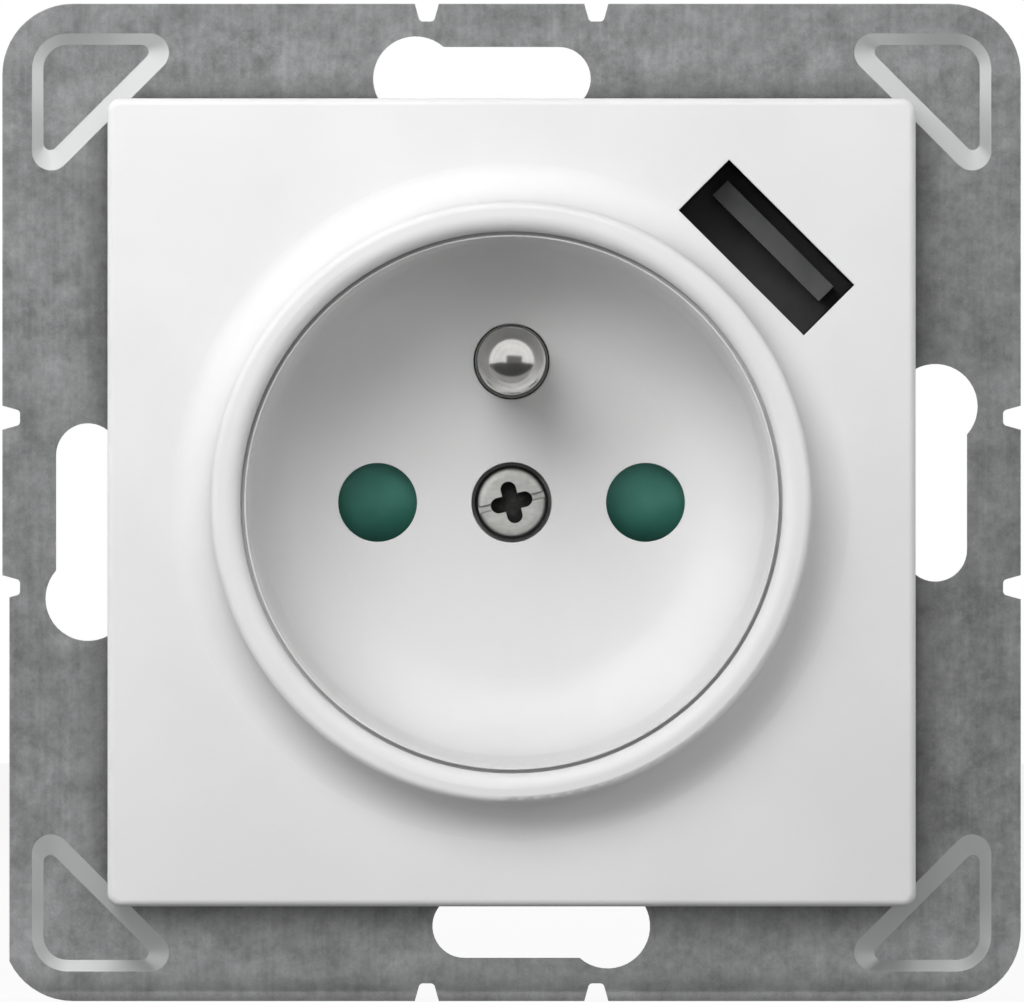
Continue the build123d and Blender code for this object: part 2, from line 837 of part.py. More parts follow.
# Sprung contacts: two leaves grip the pin, a web runs down to the terminal and up to the charger
with BuildPart() as line_contact:
    for side in (-1, 1):
        with BuildSketch(Plane.YZ.offset(pin_shift - contact_width / 2)):
            with BuildLine():
                Polyline(
                    aside(contact_front, side * contact_mouth),
                    aside(pinch_depth, side * contact_pinch),
                    aside(contact_back, side * contact_heel),
                    aside(contact_back, side * (contact_heel + contact_sheet)),
                    aside(pinch_depth, side * (contact_pinch + contact_sheet)),
                    aside(contact_front, side * (contact_mouth + contact_sheet)),
                    close=True,
                )
            make_face()
        extrude(amount=contact_width)
    with BuildSketch(Plane.YZ.offset(pin_shift + contact_width / 2)):
        with BuildLine():
            Polyline(
                aside(contact_back, -terminal_top),
                aside(contact_back, feed_rise),
                aside(board_back, feed_rise),
                aside(board_back, feed_rise - feed_width),
                aside(contact_back + contact_web, feed_rise - feed_width),
                aside(contact_back + contact_web, -terminal_top),
                close=True,
            )
        make_face()
    extrude(amount=contact_sheet)
line_contact.part.label = "line_contact"
export_step(line_contact.part, "parts/line_contact.step")

with BuildPart() as neutral_contact:
    mirror(line_contact.part, about=Plane.YZ)
neutral_contact.part.label = "neutral_contact"
export_step(neutral_contact.part, "parts/neutral_contact.step")

# Earth pin with a riveted foot
with BuildPart() as earth_pin:
    with BuildSketch(level(guide_back)):
        with Locations((0, earth_rise)):
            Circle(earth_root_radius)
    extrude(amount=floor_front - guide_back)
    with BuildSketch(level(floor_front)):
        with Locations((0, earth_rise)):
            Circle(earth_radius)
    extrude(amount=earth_tip - earth_radius - floor_front)
    with Locations((0, earth_radius - earth_tip, earth_rise)):
        Sphere(earth_radius)
    with BuildSketch(level(strap_back)):
        with Locations((0, earth_rise)):
            Circle(rivet_radius)
    extrude(amount=strap)
    with BuildSketch(level(strap_back)):
        with Locations((0, earth_rise)):
            Circle(rivet_head_radius)
    extrude(amount=-rivet_head)
earth_pin.part.label = "earth_pin"
export_step(earth_pin.part, "parts/earth_pin.step")

# Bent strap: earth terminal at the foot, pin riveted on, upper end against the steel sheet
with BuildPart() as earth_strap:
    with BuildSketch(Plane.YZ):
        with BuildLine():
            Polyline(
                aside(contact_back, -terminal_top),
                aside(guide_back, -terminal_top),
                aside(guide_back, arm_top - strap),
                aside(sheet_back, arm_top - strap),
                aside(sheet_back, arm_top),
                aside(strap_back, arm_top),
                aside(strap_back, -terminal_top + strap),
                aside(contact_back, -terminal_top + strap),
                close=True,
            )
        make_face()
    extrude(amount=strap_width / 2, both=True)
    with BuildSketch(level(strap_back)):
        Circle(strap_ring)
    extrude(amount=strap)
    with BuildSketch(level(strap_back)):
        Circle(tail_radius + strap_slip)
        with Locations((0, earth_rise)):
            Circle(rivet_radius)
    extrude(amount=strap, mode=Mode.SUBTRACT)
earth_strap.part.label = "earth_strap"
export_step(earth_strap.part, "parts/earth_strap.step")

# Brass wire clamps that stand on the rear wall
with BuildPart() as earth_terminal:
    with BuildSketch(level(base_inside)):
        with Locations((0, -terminal_top)):
            Rectangle(terminal_width, terminal_height, align=(Align.CENTER, Align.MAX))
        with Locations((0, wire_rise)):
            Circle(wire_radius, mode=Mode.SUBTRACT)
    extrude(amount=terminal_length)
    with BuildSketch(Plane.XY.offset(-terminal_top - terminal_height)):
        with Locations((0, -driver_depth)):
            Circle(clip_screw_radius + clip_screw_slip)
    extrude(amount=terminal_height / 2, mode=Mode.SUBTRACT)
earth_terminal.part.label = "earth_terminal"
export_step(earth_terminal.part, "parts/earth_terminal.step")

with BuildPart() as line_terminal:
    with Locations((terminal_shift, 0, 0)):
        add(earth_terminal.part)
line_terminal.part.label = "line_terminal"
export_step(line_terminal.part, "parts/line_terminal.step")

with BuildPart() as neutral_terminal:
    with Locations((-terminal_shift, 0, 0)):
        add(earth_terminal.part)
neutral_terminal.part.label = "neutral_terminal"
export_step(neutral_terminal.part, "parts/neutral_terminal.step")

with BuildPart() as terminal_screws:
    with BuildSketch(Plane.XY.offset(clip_foot)):
        with Locations(*[(shift, -driver_depth) for shift in terminal_shifts]):
            Circle(clip_head_radius)
    extrude(amount=-clip_head)
    with BuildSketch(Plane.XY.offset(clip_foot)):
        with Locations(*[(shift, -driver_depth) for shift in terminal_shifts]):
            Circle(clip_screw_radius)
    extrude(amount=clip_reach)
    with BuildSketch(Plane.XY.offset(clip_foot - clip_head)):
        with Locations(*[(shift, -driver_depth) for shift in terminal_shifts]):
            Rectangle(2 * clip_head_radius, driver_slot_width)
    extrude(amount=driver_slot_depth, mode=Mode.SUBTRACT)
terminal_screws.part.label = "terminal_screws"
export_step(terminal_screws.part, "parts/terminal_screws.step")

# USB socket: shell against the back of the plate, tongue with four strips, small board
with BuildPart() as usb_shell:
    with BuildSketch(usb_frame.offset(shell_back)):
        RectangleRounded(shell_width, shell_height, usb_corner)
        Rectangle(usb_window_width, usb_window_height, mode=Mode.SUBTRACT)
    extrude(amount=usb_shell_length)
usb_shell.part.label = "usb_shell"
export_step(usb_shell.part, "parts/usb_shell.step")

with BuildPart() as usb_tongue:
    with BuildSketch(usb_frame.offset(shell_back)):
        Rectangle(usb_window_width - 2 * usb_block_slip, usb_window_height - 2 * usb_block_slip)
    extrude(amount=usb_block)
    with BuildSketch(usb_frame.offset(block_front)):
        with Locations((0, usb_tongue_shift)):
            Rectangle(usb_tongue_width, usb_tongue_wall)
    extrude(amount=tongue_front - block_front)
    with BuildSketch(usb_frame.offset(block_front)):
        with Locations((0, tongue_face)):
            with GridLocations(usb_strip_pitch, 0, link_count, 1):
                Rectangle(usb_strip_width + 2 * usb_strip_slip, 2 * usb_strip)
    extrude(amount=strip_front + usb_strip_slip - block_front, mode=Mode.SUBTRACT)
usb_tongue.part.label = "usb_tongue"
export_step(usb_tongue.part, "parts/usb_tongue.step")

with BuildPart() as usb_contacts:
    with BuildSketch(usb_frame.offset(block_front)):
        with Locations((0, tongue_face + usb_strip / 2)):
            with GridLocations(usb_strip_pitch, 0, link_count, 1):
                Rectangle(usb_strip_width, usb_strip)
    extrude(amount=strip_front - block_front)
usb_contacts.part.label = "usb_contacts"
export_step(usb_contacts.part, "parts/usb_contacts.step")

with BuildPart() as usb_board:
    with BuildSketch(usb_frame.offset(usb_board_back)) as usb_board_outline:
        with Locations((0, usb_board_near)):
            Rectangle(usb_board_width, usb_board_far - usb_board_near, align=(Align.CENTER, Align.MIN))
        fillet(usb_board_outline.vertices().group_by(Axis((0, 0, 0), (1, 0, 1)))[-1], usb_board_corner)
    extrude(amount=usb_board_wall)
usb_board.part.label = "usb_board"
export_step(usb_board.part, "parts/usb_board.step")

with BuildPart() as board_link:
    with BuildSketch(usb_frame.offset(board_front)):
        with Locations((0, link_shift)):
            with GridLocations(link_pitch, 0, link_count, 1):
                Circle(link_radius)
    extrude(amount=usb_board_back - board_front)
board_link.part.label = "board_link"
export_step(board_link.part, "parts/board_link.step")

# Mains charger: board across the upper half, parts on its rear side
with BuildPart() as charger_board:
    with BuildSketch(level(board_back)):
        Circle(base_bore - board_edge)
        with Locations((0, board_foot)):
            Rectangle(2 * base_bore, 2 * base_bore, align=(Align.CENTER, Align.MAX), mode=Mode.SUBTRACT)
    extrude(amount=board_wall)
charger_board.part.label = "charger_board"
export_step(charger_board.part, "parts/charger_board.step")

with BuildPart() as transformer_core:
    with BuildSketch(level(board_back)):
        with Locations((core_x, core_z)):
            Rectangle(core_width, core_height)
            with GridLocations((core_width - core_leg) / 2, 0, 2, 1):
                Rectangle((core_width - 3 * core_leg) / 2, core_height - 2 * core_leg, mode=Mode.SUBTRACT)
    extrude(amount=-core_length)
transformer_core.part.label = "transformer_core"
export_step(transformer_core.part, "parts/transformer_core.step")

with BuildPart() as transformer_coil:
    with BuildSketch(level(board_back)):
        with Locations((core_x, core_z)):
            Rectangle(coil_width, coil_height)
            Rectangle(core_leg + coil_gap, coil_height, mode=Mode.SUBTRACT)
    extrude(amount=-core_length)
    with BuildSketch(level(board_back - core_length)):
        with Locations((core_x, core_z)):
            Rectangle(coil_width, coil_height)
    extrude(amount=-coil_bulge)
transformer_coil.part.label = "transformer_coil"
export_step(transformer_coil.part, "parts/transformer_coil.step")

with BuildPart() as input_capacitor:
    with BuildSketch(level(board_back)):
        with PolarLocations(input_reach, 1, input_angle):
            Circle(input_radius)
    extrude(amount=-input_length)
    fillet(input_capacitor.edges().group_by(Axis.Y)[-1], can_round)
input_capacitor.part.label = "input_capacitor"
export_step(input_capacitor.part, "parts/input_capacitor.step")

with BuildPart() as output_capacitor:
    with BuildSketch(level(board_back)):
        with PolarLocations(output_reach, 1, output_angle):
            Circle(output_radius)
    extrude(amount=-output_length)
    fillet(output_capacitor.edges().group_by(Axis.Y)[-1], can_round)
output_capacitor.part.label = "output_capacitor"
export_step(output_capacitor.part, "parts/output_capacitor.step")

with BuildPart() as controller_chip:
    with BuildSketch(level(board_back)):
        with Locations((chip_x, chip_z)):
            Rectangle(chip_length, chip_width)
    extrude(amount=-chip_height)
controller_chip.part.label = "controller_chip"
export_step(controller_chip.part, "parts/controller_chip.step")

with BuildPart() as rectifier:
    with BuildSketch(level(board_back)):
        with Locations((rectifier_x, rectifier_z)):
            Rectangle(rectifier_length, rectifier_width)
    extrude(amount=-rectifier_height)
rectifier.part.label = "rectifier"
export_step(rectifier.part, "parts/rectifier.step")
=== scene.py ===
import json
import bpy
from math import cos, radians, sin
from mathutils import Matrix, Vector


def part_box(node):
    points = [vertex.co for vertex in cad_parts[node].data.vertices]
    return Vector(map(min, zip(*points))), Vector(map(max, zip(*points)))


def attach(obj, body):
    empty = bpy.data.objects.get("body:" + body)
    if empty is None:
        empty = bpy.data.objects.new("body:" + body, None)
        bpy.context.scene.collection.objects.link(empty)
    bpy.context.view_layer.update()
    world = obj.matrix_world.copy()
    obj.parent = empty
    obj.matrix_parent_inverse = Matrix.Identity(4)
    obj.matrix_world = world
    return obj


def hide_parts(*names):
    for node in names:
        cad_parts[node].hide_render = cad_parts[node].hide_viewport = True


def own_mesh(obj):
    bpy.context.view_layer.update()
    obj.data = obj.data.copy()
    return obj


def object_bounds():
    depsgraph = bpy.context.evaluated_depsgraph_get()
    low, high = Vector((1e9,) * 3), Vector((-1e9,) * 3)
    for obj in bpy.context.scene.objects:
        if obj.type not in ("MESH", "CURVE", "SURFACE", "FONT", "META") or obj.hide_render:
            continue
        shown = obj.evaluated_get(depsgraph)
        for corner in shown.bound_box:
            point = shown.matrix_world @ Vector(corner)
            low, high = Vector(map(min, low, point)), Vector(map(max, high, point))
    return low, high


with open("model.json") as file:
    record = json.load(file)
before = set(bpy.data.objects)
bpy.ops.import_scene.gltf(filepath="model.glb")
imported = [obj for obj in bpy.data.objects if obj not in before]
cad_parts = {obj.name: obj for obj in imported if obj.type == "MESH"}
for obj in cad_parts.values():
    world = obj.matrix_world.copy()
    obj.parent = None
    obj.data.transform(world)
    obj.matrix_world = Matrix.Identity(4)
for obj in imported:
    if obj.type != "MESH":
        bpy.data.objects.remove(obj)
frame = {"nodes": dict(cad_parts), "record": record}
cadBox = [list(corner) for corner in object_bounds()]
print("frame loaded:", len(frame["nodes"]), "nodes")


def hexColour(text):  # sRGB hex to linear RGBA
    linear = []
    for i in (1, 3, 5):
        c = int(text[i:i + 2], 16) / 255
        linear.append(c / 12.92 if c <= 0.04045 else ((c + 0.055) / 1.055) ** 2.4)
    return (*linear, 1.0)


def perMetre(millimetres):  # texture scale that gives a pattern of this size
    return 1000.0 / millimetres


def addNode(tree, kind, settings, links):
    node = tree.nodes.new(kind)
    for key, value in settings.items():
        if isinstance(key, int) or key in node.inputs:
            node.inputs[key].default_value = value
        else:
            setattr(node, key, value)
    for key, socket in links.items():
        tree.links.new(socket, node.inputs[key])
    return node


def newMaterial(name):
    made = bpy.data.materials.new(name)
    made.use_nodes = True
    tree = made.node_tree
    tree.nodes.clear()
    return made, tree


def twoTone(tree, factor, dark, light, band):  # a colour that wanders between two tones
    ramp = addNode(tree, "ShaderNodeValToRGB", {}, {"Fac": factor})
    for element, tone, position in zip(ramp.color_ramp.elements, (dark, light), band):
        element.position = position
        element.color = hexColour(tone)
    return ramp.outputs["Color"]


def remap(tree, value, band, start, end):  # start at the low end of the band, end at the high end
    node = addNode(
        tree, "ShaderNodeMapRange",
        {"From Min": band[0], "From Max": band[1], "To Min": start, "To Max": end}, {"Value": value},
    )
    return node.outputs["Result"]


def mixColour(tree, share, colour, over):  # lays a plain colour over another by a share
    node = addNode(
        tree, "ShaderNodeMix", {"data_type": "RGBA", 7: hexColour(over)}, {0: share, 6: colour},
    )
    return node.outputs[2]


def finishMaterial(tree, settings, links):
    shader = addNode(tree, "ShaderNodeBsdfPrincipled", settings, links)
    addNode(tree, "ShaderNodeOutputMaterial", {}, {"Surface": shader.outputs["BSDF"]})


# Moulded plastics: a smooth skin with the fine grain of the mould, a slow drift of tone and painted shade in the
# seams
mouldingBase = {
    "nodes": [], "driftDetail": 3.0, "grainDetail": 2.0, "toneBand": (0.35, 0.65),
    "edgeSamples": 4, "bumpStrength": 0.6,
    "gapSamples": 6, "gapBand": (0.35, 0.85), "seamShadeMm": 0.6, "seamShade": "#20201f", "seamShadeShare": 0.3,
}
mouldings = {
    "mouldedWhitePolycarbonate": {  # clean white, half gloss, soft highlights on the collar
        "slots": ["white_thermoplastic"], "dark": "#e7e7e7", "light": "#ececec",
        "roughness": 0.46, "ior": 1.5, "grainMm": 0.22, "grainHeight": 0.004, "driftMm": 14.0, "edgeMm": 0.12,
        "seamShade": "#6a6a68", "seamShadeShare": 0.25,
    },
    "mouldedWhiteRecessShaded": {  # the insert, painted a shade greyer than the plate for the shade in the recess, and duller
        "slots": [], "nodes": ["socket_insert"], "dark": "#dedede", "light": "#e3e3e3",
        "roughness": 0.5, "ior": 1.5, "grainMm": 0.22, "grainHeight": 0.004, "driftMm": 14.0, "edgeMm": 0.12,
        "seamShade": "#6a6a68", "seamShadeShare": 0.25,
    },
    "mouldedGreyPolyamide": {  # dull light grey with a coarser grain
        "slots": ["housing_plastic"], "dark": "#c3c4c2", "light": "#cccdca",
        "roughness": 0.55, "ior": 1.53, "grainMm": 0.35, "grainHeight": 0.02, "driftMm": 9.0, "edgeMm": 0.2,
    },
    "mouldedGreenPolyamide": {  # dark bottle green, a little sheen
        "slots": ["green_plastic"], "dark": "#458777", "light": "#4e9282",
        "roughness": 0.42, "ior": 1.53, "grainMm": 0.3, "grainHeight": 0.01, "driftMm": 4.0, "edgeMm": 0.1,
    },
    "mouldedBlackNylon": {  # black with a worn grey skin
        "slots": ["black_moulding"], "dark": "#454546", "light": "#4e4e4f",
        "roughness": 0.5, "ior": 1.53, "grainMm": 0.25, "grainHeight": 0.01, "driftMm": 2.0, "edgeMm": 0.08,
    },
    "mouldedChipEpoxy": {  # dead black, fine grit
        "slots": ["chip_epoxy"], "dark": "#1d1d1e", "light": "#262627",
        "roughness": 0.6, "ior": 1.55, "grainMm": 0.2, "grainHeight": 0.02, "driftMm": 1.5, "edgeMm": 0.05,
    },
    "firedFerrite": {  # charcoal ceramic, chalky grain
        "slots": ["ferrite"], "dark": "#2f3033", "light": "#3d3e41",
        "roughness": 0.65, "ior": 1.8, "grainMm": 0.3, "grainHeight": 0.03, "driftMm": 2.5, "edgeMm": 0.1,
    },
    "woundPolyesterTape": {  # amber tape over the coil
        "slots": ["winding_tape"], "dark": "#c8961f", "light": "#d9aa36",
        "roughness": 0.3, "ior": 1.6, "grainMm": 0.5, "grainHeight": 0.02, "driftMm": 1.5, "edgeMm": 0.08,
    },
    "shrunkCapacitorSleeve": {  # dark blue film, glossy
        "slots": ["capacitor_sleeve"], "dark": "#1b2440", "light": "#232e50",
        "roughness": 0.25, "ior": 1.54, "grainMm": 0.6, "grainHeight": 0.01, "driftMm": 3.0, "edgeMm": 0.1,
    },
    "lacqueredGlassLaminate": {  # green solder lacquer over woven glass
        "slots": ["board_laminate"], "dark": "#17532f", "light": "#1f6238",
        "roughness": 0.28, "ior": 1.55, "grainMm": 0.5, "grainHeight": 0.02, "driftMm": 3.0, "edgeMm": 0.08,
    },
}


def makeMoulding(name, look):
    made, tree = newMaterial(name)
    place = addNode(tree, "ShaderNodeTexCoord", {}, {}).outputs["Object"]
    drift = addNode(
        tree, "ShaderNodeTexNoise", {"Scale": perMetre(look["driftMm"]), "Detail": look["driftDetail"]},
        {"Vector": place},
    )
    grain = addNode(
        tree, "ShaderNodeTexNoise", {"Scale": perMetre(look["grainMm"]), "Detail": look["grainDetail"]},
        {"Vector": place},
    )
    edge = addNode(
        tree, "ShaderNodeBevel", {"samples": look["edgeSamples"], "Radius": look["edgeMm"] / 1000}, {},
    )
    bump = addNode(
        tree, "ShaderNodeBump", {"Strength": look["bumpStrength"], "Distance": look["grainHeight"] / 1000},
        {"Height": grain.outputs["Fac"], "Normal": edge.outputs["Normal"]},
    )
    colour = twoTone(tree, drift.outputs["Fac"], look["dark"], look["light"], look["toneBand"])
    # painted shade: ambient occlusion darkens the seams and gaps between parts
    gap = addNode(
        tree, "ShaderNodeAmbientOcclusion",
        {"samples": look["gapSamples"], "Distance": look["seamShadeMm"] / 1000}, {},
    )
    seamShade = remap(tree, gap.outputs["AO"], look["gapBand"], look["seamShadeShare"], 0.0)
    finishMaterial(
        tree, {"Roughness": look["roughness"], "IOR": look["ior"]},
        {"Base Color": mixColour(tree, seamShade, colour, look["seamShade"]), "Normal": bump.outputs["Normal"]},
    )
    return made


# Metals: rolled, turned or plated, with streaks along one direction, cloudy patches and painted shade in the corners
metalBase = {
    "cloudDetail": 6.0, "cloudGrit": 0.6, "streakDetail": 3.0, "streakShare": 0.4,
    "glossBand": (0.3, 0.7), "toneBand": (0.36, 0.64), "edgeSamples": 4, "bumpStrength": 0.7,
    "cornerSamples": 8, "cornerShadeBand": (0.4, 0.95), "metallic": 1.0,
}
metals = {
    "galvanisedSheetSteel": {  # dull grey zinc, cloudy spangle, faint rolling streaks, pressed slopes paler from a painted highlight
        "slots": ["galvanised_steel"], "dark": "#bebfc0", "light": "#eff0f1", "roughness": (0.32, 0.42),
        "cloudMm": 2.6, "cloudGrit": 0.85, "streakMm": (0.35, 0.35, 7.0), "streakShare": 0.15,
        # painted shadow: a wide dark band on the sheet along the edges of the plate
        "scratchHeight": 0.004, "edgeMm": 0.06, "cornerShadeMm": 3.2, "cornerShade": "#34332f", "cornerShadeShare": 0.85,
        "slopeHighlight": "#cdcece", "slopeHighlightBand": (0.96, 0.985), "slopeHighlightMetallic": 0.5,
    },
    "nickelPlatedPin": {  # bright warm white metal, faint turning marks
        "slots": ["nickel_plate"], "dark": "#c9c8c5", "light": "#dcdbd8", "roughness": (0.14, 0.22),
        "cloudMm": 1.5, "streakMm": (3.0, 0.12, 3.0),
        # painted shade: a dark ring round the foot of the pin
        "scratchHeight": 0.002, "edgeMm": 0.05, "cornerShadeMm": 0.6, "cornerShade": "#3a3834", "cornerShadeShare": 0.7,
    },
    "zincPlatedScrewSteel": {  # grey white plating, slightly worn, black in the cross from painted shade
        "slots": ["zinc_screw_steel"], "dark": "#c6c6c2", "light": "#dededa", "roughness": (0.36, 0.5),
        "cloudMm": 0.9, "streakMm": (0.8, 0.8, 0.2), "metallic": 0.5,
        "scratchHeight": 0.006, "edgeMm": 0.12,
        "cornerShadeMm": 2.5, "cornerShadeBand": (0.4, 0.72), "cornerShade": "#0e0e0d", "cornerShadeShare": 0.97,
    },
    "drawnSpringWire": {  # bare bright wire
        "slots": ["spring_steel"], "dark": "#8d8d8c", "light": "#a5a5a3", "roughness": (0.28, 0.36),
        "cloudMm": 1.0, "streakMm": (0.3, 0.3, 0.3),
        "scratchHeight": 0.003, "edgeMm": 0.02, "cornerShadeMm": 0.5, "cornerShade": "#3a3834", "cornerShadeShare": 0.3,
    },
    "rolledBronzeStrip": {  # warm copper red strip
        "slots": ["contact_bronze"], "dark": "#b98a5d", "light": "#caa074", "roughness": (0.3, 0.42),
        "cloudMm": 2.0, "streakMm": (0.3, 0.3, 5.0),
        "scratchHeight": 0.006, "edgeMm": 0.08, "cornerShadeMm": 1.0, "cornerShade": "#3d2a18", "cornerShadeShare": 0.4,
    },
    "sawnTerminalBrass": {  # yellow bar with saw marks
        "slots": ["terminal_brass"], "dark": "#bfa255", "light": "#d2b76c", "roughness": (0.28, 0.4),
        "cloudMm": 1.6, "streakMm": (3.0, 3.0, 0.2),
        "scratchHeight": 0.008, "edgeMm": 0.15, "cornerShadeMm": 1.0, "cornerShade": "#3b3013", "cornerShadeShare": 0.4,
    },
    "shadedUsbShellSteel": {  # folded sheet of the USB port, painted dark for the shade inside the port
        "slots": ["usb_shell_steel"], "dark": "#29292a", "light": "#323233", "roughness": (0.4, 0.5),
        "cloudMm": 1.2, "streakMm": (0.2, 4.0, 0.2),
        "scratchHeight": 0.004, "edgeMm": 0.06, "cornerShadeMm": 2.0, "cornerShade": "#1c1c1c", "cornerShadeShare": 0.5,
    },
    "giltContactStrip": {  # yellow gold flash
        "slots": ["gilt_strip"], "dark": "#cfae5a", "light": "#dfc277", "roughness": (0.2, 0.28),
        "cloudMm": 0.8, "streakMm": (0.15, 2.0, 0.15),
        "scratchHeight": 0.002, "edgeMm": 0.03, "cornerShadeMm": 0.5, "cornerShade": "#4a3a14", "cornerShadeShare": 0.3,
    },
    "tinnedCopperWire": {  # soft white tin
        "slots": ["tinned_wire"], "dark": "#b3b3b1", "light": "#c6c6c3", "roughness": (0.3, 0.4),
        "cloudMm": 0.6, "streakMm": (0.2, 1.5, 0.2),
        "scratchHeight": 0.003, "edgeMm": 0.03, "cornerShadeMm": 0.5, "cornerShade": "#4a4a48", "cornerShadeShare": 0.3,
    },
}


def makeMetal(name, look):
    made, tree = newMaterial(name)
    where = addNode(tree, "ShaderNodeTexCoord", {}, {})
    place = where.outputs["Object"]
    stretch = addNode(
        tree, "ShaderNodeMapping", {"Scale": [perMetre(size) for size in look["streakMm"]]}, {"Vector": place},
    )
    streak = addNode(
        tree, "ShaderNodeTexNoise", {"Scale": 1.0, "Detail": look["streakDetail"]},
        {"Vector": stretch.outputs["Vector"]},
    )
    cloud = addNode(
        tree, "ShaderNodeTexNoise",
        {"Scale": perMetre(look["cloudMm"]), "Detail": look["cloudDetail"], "Roughness": look["cloudGrit"]},
        {"Vector": place},
    )
    blend = addNode(
        tree, "ShaderNodeMix", {"data_type": "FLOAT", "Factor": look["streakShare"]},
        {"A": cloud.outputs["Fac"], "B": streak.outputs["Fac"]},
    ).outputs["Result"]
    edge = addNode(
        tree, "ShaderNodeBevel", {"samples": look["edgeSamples"], "Radius": look["edgeMm"] / 1000}, {},
    )
    bump = addNode(
        tree, "ShaderNodeBump", {"Strength": look["bumpStrength"], "Distance": look["scratchHeight"] / 1000},
        {"Height": streak.outputs["Fac"], "Normal": edge.outputs["Normal"]},
    )
    # painted shade: ambient occlusion darkens corners, recesses and the sheet along the edges of the plate
    corner = addNode(
        tree, "ShaderNodeAmbientOcclusion",
        {"samples": look["cornerSamples"], "Distance": look["cornerShadeMm"] / 1000}, {},
    )
    cornerShade = remap(tree, corner.outputs["AO"], look["cornerShadeBand"], look["cornerShadeShare"], 0.0)
    unshaded = twoTone(tree, blend, look["dark"], look["light"], look["toneBand"])
    colour = mixColour(tree, cornerShade, unshaded, look["cornerShade"])
    settings = {"Metallic": look["metallic"]}
    links = {"Roughness": remap(tree, blend, look["glossBand"], *look["roughness"]), "Normal": bump.outputs["Normal"]}
    if "slopeHighlight" in look:  # painted highlight: slopes and cut edges made pale, told by how far they lean from the sheet
        lean = addNode(tree, "ShaderNodeSeparateXYZ", {}, {"Vector": where.outputs["Normal"]})
        flat = addNode(tree, "ShaderNodeMath", {"operation": "ABSOLUTE"}, {0: lean.outputs["Y"]})
        slope = remap(tree, flat.outputs[0], look["slopeHighlightBand"], 1.0, 0.0)
        colour = mixColour(tree, slope, colour, look["slopeHighlight"])
        links["Metallic"] = remap(tree, slope, (0.0, 1.0), look["metallic"], look["slopeHighlightMetallic"])
    links["Base Color"] = colour
    finishMaterial(tree, settings, links)
    return made


bySlot = {}
byNode = {}
for name, own in mouldings.items():
    look = {**mouldingBase, **own}
    made = makeMoulding(name, look)
    bySlot.update({slot: made for slot in look["slots"]})
    byNode.update({node: made for node in look["nodes"]})
for name, own in metals.items():
    look = {**metalBase, **own}
    made = makeMetal(name, look)
    bySlot.update({slot: made for slot in look["slots"]})
for part in frame["record"]["subparts"]:
    node = frame["nodes"][part["node"]]
    node.data.materials.clear()
    node.data.materials.append(byNode.get(part["node"], bySlot[part["material_slot"]]))
print("materials made:", len(bySlot) + len(byNode))

# Return spring: the same coil as the CAD node, wound again here and hung on the socket body
coilLook = {"wire": 0.00017, "turns": 7, "sides": 12, "stepsPerTurn": 32, "merge": 0.000002}
coilLow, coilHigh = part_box("shutter_spring")
coilRadius = (coilHigh.x - coilLow.x) / 2 - coilLook["wire"]
coilLength = coilHigh.z - coilLow.z
bpy.ops.object.select_all(action="DESELECT")
bpy.ops.mesh.primitive_circle_add(
    vertices=coilLook["sides"], radius=coilLook["wire"],
    location=(coilRadius, 0, 0), rotation=(radians(90), 0, 0),
)
coil = bpy.context.object
coil.name = "returnSpring"
bpy.ops.object.transform_apply(location=True, rotation=True, scale=True)
screw = coil.modifiers.new("Screw", "SCREW")
screw.iterations = coilLook["turns"]
screw.screw_offset = (coilLength - 2 * coilLook["wire"]) / coilLook["turns"]
screw.steps = coilLook["stepsPerTurn"]
screw.render_steps = coilLook["stepsPerTurn"]
bpy.ops.object.modifier_apply(modifier=screw.name)
bpy.ops.object.mode_set(mode="EDIT")
bpy.ops.mesh.select_all(action="SELECT")
bpy.ops.mesh.remove_doubles(threshold=coilLook["merge"])
bpy.ops.mesh.fill_holes(sides=0)
bpy.ops.mesh.normals_make_consistent(inside=False)
bpy.ops.object.mode_set(mode="OBJECT")
coilMiddle = (coilLow + coilHigh) / 2
coil.location = (coilMiddle.x, coilMiddle.y, coilLow.z + coilLook["wire"])
bpy.ops.object.transform_apply(location=True, rotation=True, scale=True)
bpy.ops.object.shade_smooth()
coil.data.materials.append(bySlot["spring_steel"])
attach(coil, "socket")
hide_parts("shutter_spring")
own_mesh(coil)
print("spring wound:", len(coil.data.polygons), "faces")


def seenRays(tree):  # 1 where the lens, a gloss or a clear piece looks, 0 for light that falls on the object
    path = addNode(tree, "ShaderNodeLightPath", {}, {})
    direct = addNode(
        tree, "ShaderNodeMath", {"operation": "MAXIMUM"},
        {0: path.outputs["Is Camera Ray"], 1: path.outputs["Is Glossy Ray"]},
    )
    either = addNode(
        tree, "ShaderNodeMath", {"operation": "MAXIMUM"},
        {0: direct.outputs[0], 1: path.outputs["Is Transmission Ray"]},
    )
    return either.outputs[0]


# Floor under the lowest edge, pale, with a soft shadow
floorLook = {
    "size": 4.0, "dark": "#d6d6d4", "light": "#dcdcda", "speckleMm": 60.0, "speckleDetail": 2.0,
    "toneBand": (0.3, 0.7), "white": 0.92,
}
floorLevel = cadBox[0][2]
bpy.ops.object.select_all(action="DESELECT")
bpy.ops.mesh.primitive_plane_add(size=floorLook["size"], location=(0, 0, floorLevel))
floor = bpy.context.object
floor.name = "floor"
floorMaterial, tree = newMaterial("paintedStudioFloor")
place = addNode(tree, "ShaderNodeTexCoord", {}, {}).outputs["Object"]
speckle = addNode(
    tree, "ShaderNodeTexNoise",
    {"Scale": perMetre(floorLook["speckleMm"]), "Detail": floorLook["speckleDetail"]}, {"Vector": place},
)
tone = twoTone(tree, speckle.outputs["Fac"], floorLook["dark"], floorLook["light"], floorLook["toneBand"])
paint = addNode(tree, "ShaderNodeBsdfDiffuse", {}, {"Color": tone})
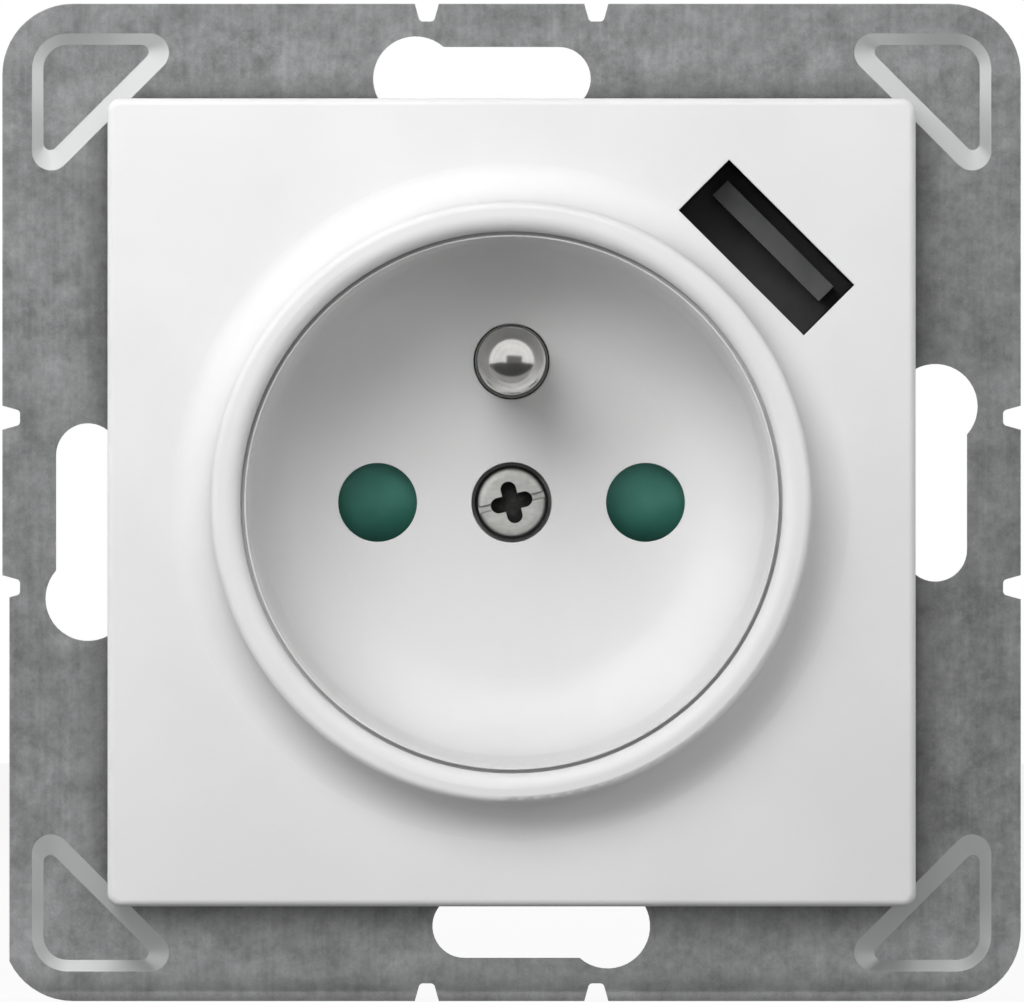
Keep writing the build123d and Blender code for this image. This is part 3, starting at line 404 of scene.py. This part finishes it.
glow = addNode(tree, "ShaderNodeEmission", {"Strength": 1.0}, {})
share = remap(tree, seenRays(tree), (0.0, 1.0), 0.0, floorLook["white"])
mixed = addNode(tree, "ShaderNodeMixShader", {}, {0: share, 1: paint.outputs[0], 2: glow.outputs[0]})
addNode(tree, "ShaderNodeOutputMaterial", {}, {"Surface": mixed.outputs[0]})
floor.data.materials.append(floorMaterial)

# White room: bright behind the object and in reflections, dimmer as a fill
roomLook = {"colour": "#ffffff", "bright": 1.0, "fill": 0.07}
room = bpy.data.worlds.new("whiteRoom")
bpy.context.scene.world = room
room.use_nodes = True
tree = room.node_tree
tree.nodes.clear()
level = remap(tree, seenRays(tree), (0.0, 1.0), roomLook["fill"], roomLook["bright"])
sky = addNode(tree, "ShaderNodeBackground", {"Color": hexColour(roomLook["colour"])}, {"Strength": level})
addNode(tree, "ShaderNodeOutputWorld", {}, {"Surface": sky.outputs[0]})

# Soft boxes: the key above and to the left, near enough to fall off across the plate, weak ones round it, two behind
softBoxes = {
    "keyBox": {"distance": 0.23, "heading": 118.0, "tilt": 43.0, "size": 0.15, "watts": 0.45},
    "frontBox": {"distance": 1.2, "heading": 90.0, "tilt": 6.0, "size": 0.6, "watts": 3.3},
    "leftBox": {"distance": 0.5, "heading": 180.0, "tilt": 68.0, "size": 0.3, "watts": 0.55},
    "rightBox": {"distance": 0.5, "heading": 0.0, "tilt": 68.0, "size": 0.3, "watts": 0.60},
    "rearLeftBox": {"distance": 1.0, "heading": 145.0, "tilt": 128.0, "size": 0.6, "watts": 4.5},
    "rearRightBox": {"distance": 1.0, "heading": 35.0, "tilt": 128.0, "size": 0.6, "watts": 4.5},
}
target = Vector((0, cadBox[0][1], 0))
for name, look in softBoxes.items():
    heading, tilt = radians(look["heading"]), radians(look["tilt"])
    reach = Vector((sin(tilt) * cos(heading), -cos(tilt), sin(tilt) * sin(heading)))
    bpy.ops.object.light_add(type="AREA", location=target + reach * look["distance"])
    box = bpy.context.object
    box.name = name
    box.data.energy = look["watts"]
    box.data.shape = "SQUARE"
    box.data.size = look["size"]
    box.rotation_euler = (-reach).to_track_quat("-Z", "Y").to_euler()
    box.visible_glossy = False

# Cards that the lens doesn't see: one dims the bounce off the floor, the others stand in the gloss of the metal
cardLook = {"felt": "#2b2b2b", "roughness": 0.9, "glowColour": "#ffffff"}
cards = {
    "bounceCard": {
        "size": (0.6, 0.4), "place": (0, -0.202, floorLevel + 0.0005), "lean": 0, "glow": 0.11, "inGloss": False,
    },
    "nearCard": {
        "size": (0.6, 0.038), "place": (0, -0.021, floorLevel + 0.0006), "lean": 0, "glow": 0.35, "inGloss": True,
    },
    "farCard": {
        "size": (0.6, 0.36), "place": (0, -0.22, floorLevel + 0.0006), "lean": 0, "glow": 0.02, "inGloss": True,
    },
    "lensCard": {
        "size": (0.30, 0.30), "place": (0.06, -0.3, -0.05), "lean": 90, "glow": 0.15, "inGloss": True,
    },
}
for name, look in cards.items():
    bpy.ops.object.select_all(action="DESELECT")
    bpy.ops.mesh.primitive_plane_add(
        size=1.0, location=look["place"], rotation=(radians(look["lean"]), 0, 0),
    )
    card = bpy.context.object
    card.name = name
    card.scale = (*look["size"], 1.0)
    card.visible_camera = False
    card.visible_diffuse = not look["inGloss"]
    card.visible_glossy = look["inGloss"]
    card.visible_shadow = False
    cardMaterial, tree = newMaterial(name + "Felt")
    finishMaterial(
        tree,
        {
            "Base Color": hexColour(cardLook["felt"]), "Roughness": cardLook["roughness"],
            "Emission Color": hexColour(cardLook["glowColour"]), "Emission Strength": look["glow"],
        },
        {},
    )
    card.data.materials.append(cardMaterial)
print("studio set")

# Straight-on camera with a long lens
lensLook = {
    "distance": 2.2, "pixelsPerMm": 14.18, "imageWidth": 1024, "faceDepth": 0.0098,
    "rise": 0.0001, "right": 0.00003, "sensorMm": 36.0, "farthest": 20.0,
}
bpy.ops.object.camera_add(
    location=(lensLook["right"], -lensLook["faceDepth"] - lensLook["distance"], lensLook["rise"]),
    rotation=(radians(90), 0, 0),
)
camera = bpy.context.object
camera.name = "photoCamera"
fieldWidth = lensLook["imageWidth"] / lensLook["pixelsPerMm"] / 1000
camera.data.sensor_width = lensLook["sensorMm"]
camera.data.lens = lensLook["sensorMm"] * lensLook["distance"] / fieldWidth
camera.data.clip_end = lensLook["farthest"]
bpy.context.scene.camera = camera
bpy.context.scene.view_settings.view_transform = "Standard"

print("scene ready")
